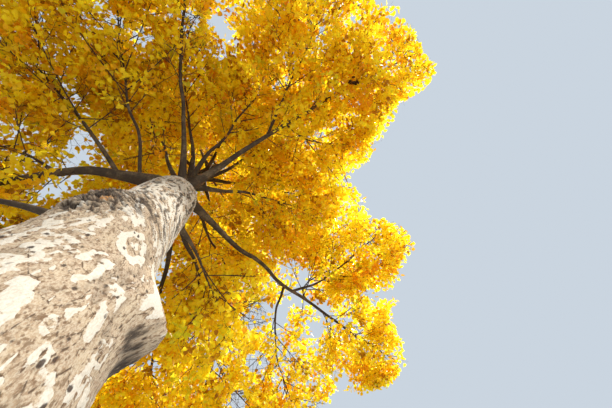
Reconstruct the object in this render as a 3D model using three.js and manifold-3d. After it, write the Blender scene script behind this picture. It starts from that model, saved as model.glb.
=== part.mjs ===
// A whole poplar in autumn leaf: one pale trunk that runs up through the crown, slender boughs that
// leave it in a whorl and above it, and masses of foliage, each grown from one stem.
// Millimetres, +Z up. The origin is on the trunk's axis in the flat cut at ground level.
// Bearings are degrees round +Z, counted from +X (east) towards +Y (north).
import * as THREE from "three";
import Module from "manifold-3d";

const wasm = await Module();
wasm.setup();

// Clearances
const GAP = 0.3;
const SEAM = 0.035;
const LIMB_CLEARANCE = 12;

// The trunk: half its thickness at heights above the ground, and what stands out of it
const TRUNK_SIDES = 15;
const TRUNK_PROFILE = [
  [0, 262],
  [700, 246],
  [2000, 233],
  [2650, 204],
  [2950, 192],
  [3900, 190],
  [4120, 174],
  [4280, 136],
  [4450, 106],
  [5300, 84],
  [6800, 56],
  [8300, 31],
  [9350, 12],
];
const TRUNK_RING_ZONES = [
  { upTo: 600, step: 150 },
  { upTo: 1950, step: 340 },
  { upTo: 3150, step: 100 },
  { upTo: 3950, step: 270 },
  { upTo: 4550, step: 90 },
  { upTo: 9350, step: 600 },
];
const FLARE = { stand: 92, height: 230, lobes: 5, lobe: 0.32, turn: 0.6 };
const KNOB = { bearing: 25, height: 2335, stand: 92, width: 30, below: 125, above: 160 };
const SCAR = { bearing: -107, height: 2900, stand: 64, width: 20, below: 260, above: 130 };
const LEADER = { from: 4300, length: 5050, sway: 70, turns: 1.3 };

// Boughs
const BOUGH_SIDES = 6;
const BOUGH_STEP = 290;
const COLLAR = { swell: 0.45, reach: 110 };
const BOUGH_TAPER = 0.5;
const ENTRY_DEPTH = 0.86;

// Twigs and leaves. A leaf here stands for a spray, so it is larger than life: its length is a share
// of its mass's mean half size, and the twigs' lengths and spacing are shares of the leaf's length.
const STEM = {
  sides: 3,
  firstLength: 60,
  carriesOn: 0.3,
  endDepth: 0.55,
  swell: 1.7,
  tipRadius: 24,
};
const TWIG = {
  count: 4,
  tries: 6,
  sides: 3,
  radius: 12,
  tipShare: 0.75,
  firstAlong: 0.4,
  lastAlong: 0.9,
  turn: 137.5,
  turnJitter: 30,
  lean: 66,
  leanJitter: 24,
  reach: 0.97,
  leastRun: 0.676,
  leastLength: 0.598,
  roomForLeaf: 0.62,
};
const LEAF = {
  share: 0.76,
  least: 0.86,
  most: 1.1,
  breadth: 0.9,
  thickness: 0.034,
  belly: 0.52,
  perTwig: 3,
  spacing: 0.26,
  sink: 3,
  fromTwigRoot: 30,
  endLean: 10,
  sideLean: 65,
  turnJitter: 60,
  tries: 24,
  firstSpread: 0.3,
  spreadStep: 0.09,
  joint: 55,
};
const RIM_PROBES = [0, 0.33, 0.67];
const MIDRIB_PROBES = [0.3, 0.6];
const WALK_STEP = 40;
const FIRST_SEED = 101;

// Boughs and the mass at each one's end. A bough leaves the trunk at a height, or another bough at a
// share of its length, bends at its knee and ends where it enters its mass. Knee and mass are given
// as bearing, distance from the trunk's axis and height; size is half the mass outwards, across, up.
const BOUGHS = [
  {
    name: "west",
    from: "trunk",
    at: 4120,
    knee: [-123, 600, 4330],
    mass: [177, 2050, 3760],
    size: [760, 660, 480],
    girth: 86,
  },
  {
    name: "west_southwest",
    from: "west",
    at: 0.55,
    knee: [-163, 1050, 4250],
    mass: [-163, 1480, 4520],
    size: [480, 430, 420],
    girth: 32,
  },
  {
    name: "southwest",
    from: "west",
    at: 0.3,
    knee: [-141, 950, 4560],
    mass: [-138, 1900, 5080],
    size: [820, 680, 560],
    girth: 46,
  },
  {
    name: "south_southwest",
    from: "west",
    at: 0.2,
    knee: [-116, 850, 4640],
    mass: [-110, 1780, 5150],
    size: [680, 560, 560],
    girth: 36,
  },
  {
    name: "south",
    from: "trunk",
    at: 4420,
    knee: [-87, 950, 4780],
    mass: [-88, 2850, 5250],
    size: [660, 640, 520],
    girth: 48,
  },
  {
    name: "southeast",
    from: "trunk",
    at: 4480,
    knee: [-33, 1300, 4980],
    mass: [-30, 2620, 5000],
    size: [680, 640, 520],
    girth: 64,
  },
  {
    name: "south_southeast",
    from: "southeast",
    at: 0.5,
    knee: [-43, 1650, 5150],
    mass: [-51, 2430, 5280],
    size: [700, 640, 540],
    girth: 38,
  },
  {
    name: "east_southeast",
    from: "southeast",
    at: 0.62,
    knee: [-20, 1450, 5150],
    mass: [-12, 1850, 5150],
    size: [600, 640, 520],
    girth: 34,
  },
  {
    name: "northeast",
    from: "trunk",
    at: 4400,
    knee: [55, 1500, 4850],
    mass: [44, 2760, 4450],
    size: [560, 540, 450],
    girth: 64,
  },
  {
    name: "east_northeast",
    from: "northeast",
    at: 0.72,
    knee: [42, 2000, 4950],
    mass: [19, 2330, 4850],
    size: [600, 560, 470],
    girth: 36,
  },
  {
    name: "north_northeast",
    from: "northeast",
    at: 0.67,
    knee: [64, 1900, 4700],
    mass: [67, 2400, 4420],
    size: [500, 500, 430],
    girth: 36,
  },
  {
    name: "inner_northeast",
    from: "northeast",
    at: 0.82,
    knee: [50, 1850, 5000],
    mass: [40, 1980, 5050],
    size: [520, 560, 480],
    girth: 34,
  },
  {
    name: "north_low",
    from: "trunk",
    at: 3700,
    knee: [64, 420, 3800],
    mass: [70, 930, 3850],
    size: [430, 480, 420],
    girth: 32,
  },
  {
    name: "north",
    from: "trunk",
    at: 4180,
    knee: [84, 800, 4400],
    mass: [84, 1780, 4250],
    size: [560, 520, 450],
    girth: 46,
  },
  {
    name: "north_northwest",
    from: "trunk",
    at: 4300,
    knee: [108, 1000, 4600],
    mass: [103, 2480, 4500],
    size: [660, 600, 480],
    girth: 56,
  },
  {
    name: "northwest",
    from: "trunk",
    at: 4180,
    knee: [142, 950, 4450],
    mass: [136, 2250, 4250],
    size: [740, 720, 500],
    girth: 60,
  },
  {
    name: "west_northwest",
    from: "trunk",
    at: 4420,
    knee: [172, 1000, 4800],
    mass: [161, 2480, 4950],
    size: [700, 640, 520],
    girth: 52,
  },
  {
    name: "low_west",
    from: "trunk",
    at: 2720,
    knee: [-146, 420, 3000],
    mass: [-172, 1180, 3250],
    size: [400, 400, 340],
    girth: 32,
  },
  {
    name: "inner_southwest",
    from: "trunk",
    at: 4540,
    knee: [-125, 480, 5000],
    mass: [-124, 1000, 5800],
    size: [600, 680, 600],
    girth: 42,
  },
  {
    name: "inner_southeast",
    from: "trunk",
    at: 4640,
    knee: [-58, 750, 5100],
    mass: [-50, 1640, 5620],
    size: [700, 700, 560],
    girth: 44,
  },
  {
    name: "inner_east",
    from: "trunk",
    at: 4700,
    knee: [8, 650, 5050],
    mass: [19, 1480, 5450],
    size: [680, 700, 560],
    girth: 44,
  },
];

// Masses that stem from the trunk itself: a few among the boughs, and tiers of them above
const TRUNK_MASSES = [
  { name: "inner_south", mass: [-91, 1230, 5550], size: [500, 500, 520] },
  { name: "inner_east_southeast", mass: [-20, 1180, 5750], size: [560, 560, 540] },
  { name: "inner_north", mass: [76, 1080, 5350], size: [640, 640, 560] },
  { name: "inner_west", mass: [146, 1150, 5500], size: [660, 680, 580] },
];
const TIERS = [
  { name: "upper", count: 5, height: 6750, reach: 1370, size: [680, 760, 700], firstBearing: 12 },
  { name: "high", count: 4, height: 8050, reach: 920, size: [620, 680, 660], firstBearing: -20 },
  { name: "crest", count: 2, height: 9150, reach: 430, size: [500, 640, 600], firstBearing: 60 },
];
const TIER_STAGGER = 0.2;
const STEM_DROP = 480;
const TOP_MASS = { height: 9880, size: [430, 430, 480] };

// Colours, roughness
const PALE_BARK = { color: 0xb9ab93, roughness: 0.86 };
const DARK_BARK = { color: 0x6a5540, roughness: 0.84 };
const YELLOW_LEAVES = { color: 0xe6b60d, roughness: 0.62 };
const AMBER_LEAVES = { color: 0xcf8a12, roughness: 0.64 };
const AMBER_EVERY = 3;

const { clamp, degToRad, euclideanModulo, lerp, radToDeg, seededRandom } = THREE.MathUtils;

// A point at a bearing, distance from the axis and height
function place([bearing, reach, height]) {
  const angle = degToRad(bearing);
  return new THREE.Vector3(reach * Math.cos(angle), reach * Math.sin(angle), height);
}

// Where the trunk's axis stands at a height: straight below, swaying a little as the leader
function trunkAxis(height) {
  const share = clamp((height - LEADER.from) / LEADER.length, 0, 1);
  const phase = share * LEADER.turns * 2 * Math.PI;
  const sway = LEADER.sway * share;
  return new THREE.Vector3(sway * Math.sin(phase), sway * (1 - Math.cos(phase)), height);
}

// A smooth hump round a bearing and height on the trunk, steeper below than above
function hump({ bearing, height, stand, width, below, above }, angle, z) {
  const turn = radToDeg(angle) - bearing;
  const aside = euclideanModulo(turn + 180, 360) - 180;
  const rise = (z - height) / (z < height ? below : above);
  return stand * Math.exp(-((aside / width) ** 2) - rise ** 2);
}

// Half the trunk's thickness in a direction at a height
const trunkProfile = new THREE.SplineCurve(
  TRUNK_PROFILE.map(([height, radius]) => new THREE.Vector2(height, radius)),
);

function trunkRadius(angle, z) {
  const last = TRUNK_PROFILE.length - 1;
  let station = TRUNK_PROFILE.findIndex(([height]) => height > z) - 1;
  if (station < 0) station = last - 1;
  const [low, high] = [TRUNK_PROFILE[station], TRUNK_PROFILE[station + 1]];
  const share = clamp((z - low[0]) / (high[0] - low[0]), 0, 1);
  const round = trunkProfile.getPoint((station + share) / last).y;
  const lobes = 1 + FLARE.lobe * Math.cos(FLARE.lobes * (angle - FLARE.turn));
  const flare = FLARE.stand * Math.exp(-z / FLARE.height) * lobes;
  return round + flare + hump(KNOB, angle, z) + hump(SCAR, angle, z);
}

// Closed loops of equally many points, joined side to side and capped at both ends
function skin(loops) {
  const sides = loops[0].length;
  const positions = loops.flat().flatMap((point) => point.toArray());
  const triangles = [];
  for (let ring = 0; ring + 1 < loops.length; ring += 1) {
    for (let side = 0; side < sides; side += 1) {
      const here = ring * sides + side;
      const next = ring * sides + ((side + 1) % sides);
      triangles.push(here, next, next + sides);
      triangles.push(here, next + sides, here + sides);
    }
  }
  const top = (loops.length - 1) * sides;
  for (let side = 1; side + 1 < sides; side += 1) {
    triangles.push(0, side + 1, side);
    triangles.push(top, top + side, top + side + 1);
  }
  return closedSolid(positions, triangles);
}

function closedSolid(positions, triangles) {
  const mesh = new wasm.Mesh({
    numProp: 3,
    vertProperties: new Float32Array(positions),
    triVerts: new Uint32Array(triangles),
  });
  return new wasm.Manifold(mesh);
}

// The trunk from its flat foot to the leader's tip, grown on all sides by a margin
function trunkSolid(margin) {
  const heights = [0];
  for (const zone of TRUNK_RING_ZONES) {
    const from = heights.at(-1);
    const count = Math.max(1, Math.round((zone.upTo - from) / zone.step));
    for (let ring = 1; ring <= count; ring += 1) {
      heights.push(from + ((zone.upTo - from) * ring) / count);
    }
  }
  const loops = heights.map((z) => {
    const centre = trunkAxis(z);
    return Array.from({ length: TRUNK_SIDES }, (_, side) => {
      const angle = (side / TRUNK_SIDES) * 2 * Math.PI;
      const radius = trunkRadius(angle, z) + margin;
      return new THREE.Vector3(radius * Math.cos(angle), radius * Math.sin(angle), 0).add(centre);
    });
  });
  return skin(loops);
}

// Rings of equally many sides round a line of centres, each square to its heading, skinned as a limb
function limbSolid(centres, headings, radii, sides) {
  let across = leanFrom(headings[0], 90, 0);
  const loops = centres.map((centre, ring) => {
    across = across.clone().projectOnPlane(headings[ring]).normalize();
    const over = headings[ring].clone().cross(across);
    return Array.from({ length: sides }, (_, side) => {
      const angle = (side / sides) * 2 * Math.PI;
      const spoke = across.clone().multiplyScalar(Math.cos(angle));
      return spoke.addScaledVector(over, Math.sin(angle)).multiplyScalar(radii[ring]).add(centre);
    });
  });
  return skin(loops);
}

// A direction that leans off another by degrees, turned about it by degrees
function leanFrom(direction, lean, turn) {
  const nearlyUpright = Math.abs(direction.z) > 0.9;
  const aside = nearlyUpright ? new THREE.Vector3(1, 0, 0) : new THREE.Vector3(0, 0, 1);
  const across = aside.cross(direction).normalize();
  const leaning = direction.clone().applyAxisAngle(across, degToRad(lean));
  return leaning.applyAxisAngle(direction, degToRad(turn));
}

// The cells that the masses keep to: ellipsoids that point outwards from the trunk
function cellAt(name, centre, [out, across, up]) {
  const bearing = Math.atan2(centre.y, centre.x);
  return {
    name,
    centre,
    out: new THREE.Vector3(Math.cos(bearing), Math.sin(bearing), 0),
    across: new THREE.Vector3(-Math.sin(bearing), Math.cos(bearing), 0),
    size: [out, across, up],
    leafLength: LEAF.share * Math.cbrt(out * across * up),
  };
}

function depthIn(cell, point) {
  const offset = point.clone().sub(cell.centre);
  const [out, across, up] = cell.size;
  return Math.hypot(offset.dot(cell.out) / out, offset.dot(cell.across) / across, offset.z / up);
}

function tierCells({ name, count, height, reach, size, firstBearing }) {
  return Array.from({ length: count }, (_, index) => {
    const bearing = firstBearing + (360 * index) / count;
    const rise = (index % 2 ? TIER_STAGGER : -TIER_STAGGER) * size[2];
    const centre = place([bearing, reach, height + rise]).add(trunkAxis(height).setZ(0));
    return cellAt(`${name}_${index + 1}`, centre, size);
  });
}

const cellOf = ({ name, mass, size }) => cellAt(name, place(mass), size);
const boughCells = BOUGHS.map(cellOf);
const trunkCells = [...TRUNK_MASSES.map(cellOf), ...TIERS.flatMap(tierCells)];
const topCell = cellAt("top", trunkAxis(TOP_MASS.height), TOP_MASS.size);
const cells = [...boughCells, ...trunkCells, topCell];

function ownedBy(cell, point) {
  const depth = depthIn(cell, point);
  return depth < 1 && cells.every((other) => other === cell || depthIn(other, point) > depth + SEAM);
}

// The share of a curve's length at which it comes into its mass's own space for good
function entryShare(curve, cell) {
  const steps = 200;
  let share = 1;
  for (let step = steps; step > 0; step -= 1) {
    const point = curve.getPointAt(step / steps);
    if (!ownedBy(cell, point) || depthIn(cell, point) > ENTRY_DEPTH) break;
    share = step / steps;
  }
  return share;
}

const trunkTip = TRUNK_PROFILE.at(-1)[0];
const grownTrunk = trunkSolid(GAP);

// Every limb, grown by a clearance that twigs and leaves keep to
let limbShield = trunkSolid(LIMB_CLEARANCE);
const clearOfLimbs = (solid) => limbShield.intersect(solid).isEmpty();

// Each bough from inside what carries it to its mass, cut clear of the carrier
const boughs = new Map();

function growBough({ name, from, at, knee, girth }, cell) {
  const carrier = boughs.get(from);
  const start = carrier ? carrier.curve.getPointAt(at * carrier.share) : trunkAxis(at);
  const curve = new THREE.QuadraticBezierCurve3(start, place(knee), cell.centre);
  const share = entryShare(curve, cell);
  const length = curve.getLength() * share;
  const radiusAt = (along) => {
    const collar = carrier ? 1 : 1 + COLLAR.swell * Math.exp(-along / COLLAR.reach);
    return (girth / 2) * (1 - BOUGH_TAPER * (along / length)) * collar;
  };
  const steps = Math.max(3, Math.round(length / BOUGH_STEP));
  const stations = Array.from({ length: steps + 1 }, (_, step) => step / steps);
  const centres = stations.map((station) => curve.getPointAt(station * share));
  const headings = stations.map((station) => curve.getTangentAt(station * share));
  const grown = (margin) => {
    const radii = stations.map((station) => radiusAt(station * length) + margin);
    return limbSolid(centres, headings, radii, BOUGH_SIDES);
  };
  const solid = largestPiece(grown(0).subtract(carrier ? carrier.grown : grownTrunk));
  const [tip, heading] = [centres.at(-1), headings.at(-1)];
  boughs.set(name, { curve, share, solid, grown: grown(GAP), tip, heading, radius: radiusAt(length) });
  limbShield = limbShield.add(grown(LIMB_CLEARANCE));
}

// The largest connected piece, which leaves out loose scraps and fills sealed hollows
function largestPiece(solid) {
  const pieces = solid.decompose();
  return pieces.reduce((best, piece) => (piece.volume() > best.volume() ? piece : best));
}

// A leaf of eight faces: a pointed outline, thickest along its middle
function leafCorners(root, direction, normal, length) {
  const side = direction.clone().cross(normal).normalize();
  const middle = root.clone().addScaledVector(direction, length * LEAF.belly);
  const half = (length * LEAF.breadth) / 2;
  const thick = (length * LEAF.thickness) / 2;
  return {
    root,
    tip: root.clone().addScaledVector(direction, length),
    left: middle.clone().addScaledVector(side, -half),
    right: middle.clone().addScaledVector(side, half),
    front: middle.clone().addScaledVector(normal, thick),
    back: middle.clone().addScaledVector(normal, -thick),
  };
}

function leafSolid({ root, tip, left, right, front, back }) {
  const positions = [root, left, tip, right, front, back].flatMap((corner) => corner.toArray());
  const triangles = [];
  for (let corner = 0; corner < 4; corner += 1) {
    const next = (corner + 1) % 4;
    triangles.push(next, corner, 4);
    triangles.push(corner, next, 5);
  }
  return closedSolid(positions, triangles);
}

// Points spread over a leaf, all of which must lie in its mass's space
function leafProbes({ root, tip, left, right }) {
  const rim = [root, left, tip, right];
  const edges = rim.flatMap((corner, index) => {
    const next = rim[(index + 1) % rim.length];
    return RIM_PROBES.map((share) => corner.clone().lerp(next, share));
  });
  return [...edges, ...MIDRIB_PROBES.map((share) => root.clone().lerp(tip, share))];
}

function randomDirection(random) {
  const z = 2 * random() - 1;
  const angle = 2 * Math.PI * random();
  const flat = Math.sqrt(1 - z * z);
  return new THREE.Vector3(flat * Math.cos(angle), flat * Math.sin(angle), z);
}

// How far a straight twig can run before it leaves its mass's space
function freeRun(cell, start, direction) {
  const point = start.clone();
  let run = 0;
  while (ownedBy(cell, point)) {
    run += WALK_STEP;
    point.addScaledVector(direction, WALK_STEP);
  }
  return Math.max(0, run - WALK_STEP);
}

// Whether a leaf crosses what has grown so far anywhere but at its own root
function crosses(grown, leaf, root) {
  const { min, max } = grown.intersect(leaf).boundingBox();
  const reaches = (corner) => corner.some((value, axis) => Math.abs(value - root[axis]) > LEAF.joint);
  return reaches(min) || reaches(max);
}

// Tries seeded directions for a leaf until one keeps to the space, and adds it to what has grown
function addLeaf(cell, grown, random, root, towards) {
  for (let attempt = 0; attempt < LEAF.tries; attempt += 1) {
    const spread = LEAF.firstSpread + LEAF.spreadStep * attempt;
    const direction = towards.clone().addScaledVector(randomDirection(random), spread).normalize();
    const normal = randomDirection(random).projectOnPlane(direction).normalize();
    const length = cell.leafLength * lerp(LEAF.least, LEAF.most, random());
    const sunk = root.clone().addScaledVector(direction, -LEAF.sink);
    const corners = leafCorners(sunk, direction, normal, length);
    if (!leafProbes(corners).every((probe) => ownedBy(cell, probe))) continue;
    const leaf = leafSolid(corners);
    if (clearOfLimbs(leaf) && !crosses(grown, leaf, root.toArray())) return grown.add(leaf);
  }
  return null;
}

// A straight side twig from the stem that keeps to the space: turned on until one is clear
function growTwig(cell, random, stemLine, index) {
  const along = lerp(TWIG.firstAlong, TWIG.lastAlong, index / (TWIG.count - 1));
  const start = stemLine.getPoint(along);
  const lean = TWIG.lean + TWIG.leanJitter * (random() - 0.5);
  for (let attempt = 0; attempt < TWIG.tries; attempt += 1) {
    const turn = TWIG.turn * index + TWIG.turnJitter * random() + (360 * attempt) / TWIG.tries;
    const direction = leanFrom(stemLine.getTangent(along), lean, turn);
    const run = freeRun(cell, start, direction) * TWIG.reach;
    if (run < cell.leafLength * TWIG.leastRun) continue;
    const room = run - cell.leafLength * TWIG.roomForLeaf;
    const length = Math.max(room, cell.leafLength * TWIG.leastLength);
    const end = start.clone().addScaledVector(direction, length);
    const radii = [TWIG.radius, TWIG.radius * TWIG.tipShare];
    const solid = limbSolid([start, end], [direction, direction], radii, TWIG.sides);
    if (clearOfLimbs(solid)) return { solid, end, direction, length };
  }
  return null;
}

// Where a twig's leaves root: one at its end, the rest at an even spacing back from it
function leafPlacesOn(twig, cell, random) {
  const spacing = cell.leafLength * LEAF.spacing;
  const room = Math.ceil((twig.length - LEAF.fromTwigRoot) / spacing);
  return Array.from({ length: Math.min(LEAF.perTwig, room) }, (_, rank) => {
    const root = twig.end.clone().addScaledVector(twig.direction, -rank * spacing - LEAF.sink);
    const turn = TWIG.turn * rank + LEAF.turnJitter * random();
    return { root, towards: leanFrom(twig.direction, rank ? LEAF.sideLean : LEAF.endLean, turn), rank };
  });
}

// A mass: side twigs leave the stem at a fixed turn from one to the next, each as long as the space
// lets it be, and their leaves are added from the tips back
function growMass(cell, stem, seed) {
  seededRandom(seed);
  const random = () => seededRandom();
  const stemLine = straightLengths(stem.centres);
  const leafPlaces = [{ root: stem.centres.at(-1), towards: stem.headings.at(-1), rank: 0 }];
  let solid = stem.solid;
  for (let index = 0; index < TWIG.count; index += 1) {
    const twig = growTwig(cell, random, stemLine, index);
    if (!twig) continue;
    solid = solid.add(twig.solid);
    leafPlaces.push(...leafPlacesOn(twig, cell, random));
  }
  leafPlaces.sort((one, other) => one.rank - other.rank);
  for (const { root, towards } of leafPlaces) {
    solid = addLeaf(cell, solid, random, root, towards) ?? solid;
  }
  return largestPiece(solid);
}

function straightLengths(points) {
  const line = new THREE.CurvePath();
  points.slice(1).forEach((point, index) => line.add(new THREE.LineCurve3(points[index], point)));
  return line;
}

// The stem goes on from where it starts through the middle of the mass towards its far side
function growStem(cell, start, heading, rootRadius) {
  const first = start.clone().addScaledVector(heading, STEM.firstLength);
  const onward = cell.centre.clone().sub(first).normalize().lerp(heading, STEM.carriesOn).normalize();
  const end = cell.centre.clone();
  while (depthIn(cell, end) < STEM.endDepth) end.addScaledVector(onward, WALK_STEP);
  const centres = [start, first, cell.centre.clone(), end];
  const last = centres.length - 1;
  const headings = centres.map((_, index) => {
    if (index === 0) return heading;
    return centres[Math.min(index + 1, last)].clone().sub(centres[index - 1]).normalize();
  });
  const radii = centres.map((_, index) => lerp(rootRadius, STEM.tipRadius, index / last));
  return { centres, headings, solid: limbSolid(centres, headings, radii, STEM.sides) };
}

function stemOnBough(cell) {
  const { tip, heading, radius } = boughs.get(cell.name);
  const start = tip.clone().addScaledVector(heading, GAP);
  return growStem(cell, start, heading, radius * STEM.swell);
}

function stemOnTrunk(cell) {
  const start = trunkAxis(cell.centre.z - STEM_DROP);
  const heading = cell.centre.clone().sub(start).normalize();
  const stem = growStem(cell, start, heading, STEM.tipRadius * STEM.swell);
  stem.solid = largestPiece(stem.solid.subtract(grownTrunk));
  return stem;
}

function stemOnTip(cell) {
  const heading = new THREE.Vector3(0, 0, 1);
  const start = trunkAxis(trunkTip).addScaledVector(heading, GAP);
  return growStem(cell, start, heading, trunkRadius(0, trunkTip) * STEM.swell);
}

function stemOf(cell) {
  if (cell === topCell) return stemOnTip(cell);
  return boughs.has(cell.name) ? stemOnBough(cell) : stemOnTrunk(cell);
}

// A named mesh from a solid
function meshOf(name, solid, finish) {
  const { vertProperties, triVerts } = solid.getMesh();
  const geometry = new THREE.BufferGeometry();
  geometry.setAttribute("position", new THREE.BufferAttribute(vertProperties, 3));
  geometry.setIndex(new THREE.BufferAttribute(triVerts, 1));
  const flat = geometry.toNonIndexed();
  flat.computeVertexNormals();
  const mesh = new THREE.Mesh(flat, new THREE.MeshStandardMaterial({ ...finish, metalness: 0 }));
  mesh.name = name;
  return mesh;
}

const tree = new THREE.Group();
tree.add(meshOf("trunk", trunkSolid(0), PALE_BARK));

BOUGHS.forEach((bough, index) => growBough(bough, boughCells[index]));
for (const [name, { solid }] of boughs) {
  tree.add(meshOf(`bough_${name}`, solid, DARK_BARK));
}

cells.forEach((cell, index) => {
  const finish = (index + 1) % AMBER_EVERY ? YELLOW_LEAVES : AMBER_LEAVES;
  tree.add(meshOf(`mass_${cell.name}`, growMass(cell, stemOf(cell), FIRST_SEED + index), finish));
});

export default tree;
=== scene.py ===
"""A whole poplar in autumn leaf, seen from beside its trunk, looking up into the crown.

Metres, +Z up, the origin on the trunk's axis at ground level. Bearings are degrees round +Z,
counted from +X (east) towards +Y (north).
"""
import math

import bpy
import numpy as np
from mathutils import Matrix, Vector


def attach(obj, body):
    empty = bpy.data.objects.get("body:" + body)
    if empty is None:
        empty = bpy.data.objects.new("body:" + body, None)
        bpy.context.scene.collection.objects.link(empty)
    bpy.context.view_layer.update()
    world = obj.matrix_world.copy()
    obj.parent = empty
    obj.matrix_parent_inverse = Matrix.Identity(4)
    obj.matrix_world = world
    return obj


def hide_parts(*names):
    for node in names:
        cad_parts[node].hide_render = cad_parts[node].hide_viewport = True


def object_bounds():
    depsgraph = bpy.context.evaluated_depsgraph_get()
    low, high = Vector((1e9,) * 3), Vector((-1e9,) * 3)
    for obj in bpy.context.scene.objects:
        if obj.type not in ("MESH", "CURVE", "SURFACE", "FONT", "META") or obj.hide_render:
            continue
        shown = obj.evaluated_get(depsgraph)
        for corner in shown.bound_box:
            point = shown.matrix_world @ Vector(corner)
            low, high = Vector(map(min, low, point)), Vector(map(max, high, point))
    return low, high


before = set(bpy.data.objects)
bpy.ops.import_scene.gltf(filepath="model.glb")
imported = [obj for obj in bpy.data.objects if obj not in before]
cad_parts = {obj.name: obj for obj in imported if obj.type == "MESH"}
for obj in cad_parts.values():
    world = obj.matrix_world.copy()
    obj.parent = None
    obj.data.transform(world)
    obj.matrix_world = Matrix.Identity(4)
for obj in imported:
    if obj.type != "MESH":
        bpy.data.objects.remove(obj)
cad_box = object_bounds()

# The photograph's view: the camera's place, where its picture's right and foot point, its lens
CAMERA_PLACE = (0.5236, -0.4180, 1.45)
VIEW_RIGHT = (0.97474834, 0.0, -0.22330622)
VIEW_DOWN = (-0.04238763, 0.98181922, -0.18502515)
SENSOR = 36.0
LENS = 17.65
PICTURE = (612, 408)

# Openings in the crown, in the picture's pixels: middle across and down, half across and down, lean,
# and what share of the leaves they clear
OPENINGS = [
    (80, 146, 18, 30, 25, 0.95), (190, 22, 18, 20, 0, 0.92), (141, 37, 17, 15, 35, 0.9),
    (42, 20, 16, 15, 0, 0.85), (257, 314, 20, 27, 20, 0.97), (237, 402, 17, 18, 0, 1.0),
    (279, 84, 10, 14, 40, 0.8), (220, 56, 9, 9, 0, 0.85), (322, 332, 8, 8, 0, 0.8),
    (366, 292, 16, 8, 20, 0.85), (219, 368, 15, 15, 0, 0.8), (345, 300, 8, 8, 0, 0.7),
    (330, 258, 22, 16, 0, 0.35), (300, 190, 14, 10, 0, 0.35), (345, 414, 64, 28, 0, 1.0),
    (240, 358, 26, 14, 0, 0.6), (325, 362, 46, 30, 0, 0.42), (160, 14, 24, 12, 0, 0.55),
    (115, 20, 15, 13, 0, 0.85), (60, 42, 22, 20, 0, 0.55), (256, 361, 18, 18, 0, 0.95),
    (193, 338, 11, 12, 0, 0.85), (280, 362, 12, 34, 0, 0.8),
]
# Between which shares of its half size an opening fades out
OPENING_FADE = (0.45, 1.1)
# How far the crown's edge strays in the picture, and how many times in a metre
EDGE_RAGGED = 9
EDGE_LUMPS = 9
# Near that edge and in lumps all through the crown the leaves stand thinner, and limbs stop short
EDGE_THIN = {"within": 24, "share": 0.68}
LUMPS_THIN = {"per_metre": 3.6, "from": 0.05, "to": 0.45, "share": 0.55}
LIMBS_STOP = 9
# Small clumps of dry leaves in the picture, across and down, and what their leaves are like
DRY_CLUMPS = [(293, 8), (294, 19), (331, 97), (351, 77)]
DRY_LEAVES = {"count": 12, "spread": 0.022, "hang": 0.6, "breadth": 0.8, "curl": 0.5}
# How many pixels off a clump's twig may be, or else how many further off than the nearest
DRY_OFF = 3
DRY_PAST = 0.1
# The crown's right edge in the picture, across and down
RIGHT_EDGE = [
    (352, 0), (400, 3), (408, 20), (418, 34), (420, 50), (440, 66), (438, 80), (431, 92), (405, 101),
    (391, 120), (377, 145), (371, 160), (350, 172), (345, 180), (362, 192), (370, 222), (390, 218),
    (414, 236), (414, 250), (406, 275), (394, 290), (409, 299), (402, 310), (390, 318), (400, 334),
    (407, 350), (405, 395), (385, 402), (366, 408),
]

# The trunk: half its thickness at heights above the ground, and what stands out of it
TRUNK_PROFILE = [
    (0.0, 0.262), (0.7, 0.246), (2.0, 0.233), (2.65, 0.204), (2.95, 0.192), (3.9, 0.190),
    (4.12, 0.174), (4.28, 0.136), (4.45, 0.106), (5.3, 0.084), (6.8, 0.056), (8.3, 0.031),
    (9.35, 0.012),
]
FLARE = {"stand": 0.092, "height": 0.23, "lobes": 5, "lobe": 0.32, "turn": 0.6}
KNOB = {"bearing": 25, "height": 2.335, "stand": 0.092, "width": 30, "below": 0.125, "above": 0.16}
SCAR = {"bearing": -107, "height": 2.9, "stand": 0.064, "width": 20, "below": 0.26, "above": 0.13}
LEADER = {"from": 4.3, "length": 5.05, "sway": 0.07, "turns": 1.3}
TRUNK_TIP = TRUNK_PROFILE[-1][0]
# The trunk's mesh: its sides, its rings' spacing up to heights, and how often that is divided
TRUNK_SIDES = 20
TRUNK_RINGS = [(1.9, 0.112), (4.6, 0.064), (TRUNK_TIP, 0.32)]
TRUNK_LEVELS = 3

# Places on the trunk: bearing, height, half their width in degrees and half their height
KNOB_PULL = (KNOB["bearing"], KNOB["height"], 60, 0.32)
KNOB_LIP = (KNOB["bearing"] + 1, KNOB["height"] - 0.01, 12, 0.045)
BELOW_KNOB = (KNOB["bearing"] + 13, KNOB["height"] - 0.115, 26, 0.065)
# Where the shadow under the knob is painted darkest
BELOW_KNOB_SHADOW = (22, 2.23, 17, 0.042)
WOUND_LIPS = (-94, 2.82, 32, 0.26)
WOUND_HOLLOW = (-103, 2.86, 12, 0.13)
WOUND_BARE = (-84, 2.75, 5, 0.05)
RING_PATCH = (-28, 2.47, 11, 0.085)
# Where the bark is whiter or less white, and by how much; under the knob less white, for its painted
# shadow
WHITER = [
    (0.35, (8, 2.75, 16, 0.2)), (0.45, (7, 2.37, 8, 0.05)),
    (-0.6, (-100, 2.8, 26, 0.3)), (-0.5, (30, 2.2, 24, 0.08)),
]
# The ringed patch from its middle outwards: how much whiter, at how many half sizes, how wide
RING_BANDS = [(0.6, 0, 0.35), (-0.8, 0.58, 0.2), (0.75, 1, 0.3), (-0.45, 1.75, 0.4)]
# The heights between which the grain twists, the patches get finer and whiter, the folds start and
# end, and the trunk turns the dark brown painted for the crown's shade
TWIST = (2.55, 3.35)
HIGH_BARK = (2.75, 3.3)
FOLDS_START = (2.6, 2.85)
FOLDS_END = (3.9, 4.1)
CROWN_SHADE_HEIGHTS = (4.12, 4.28)
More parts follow.
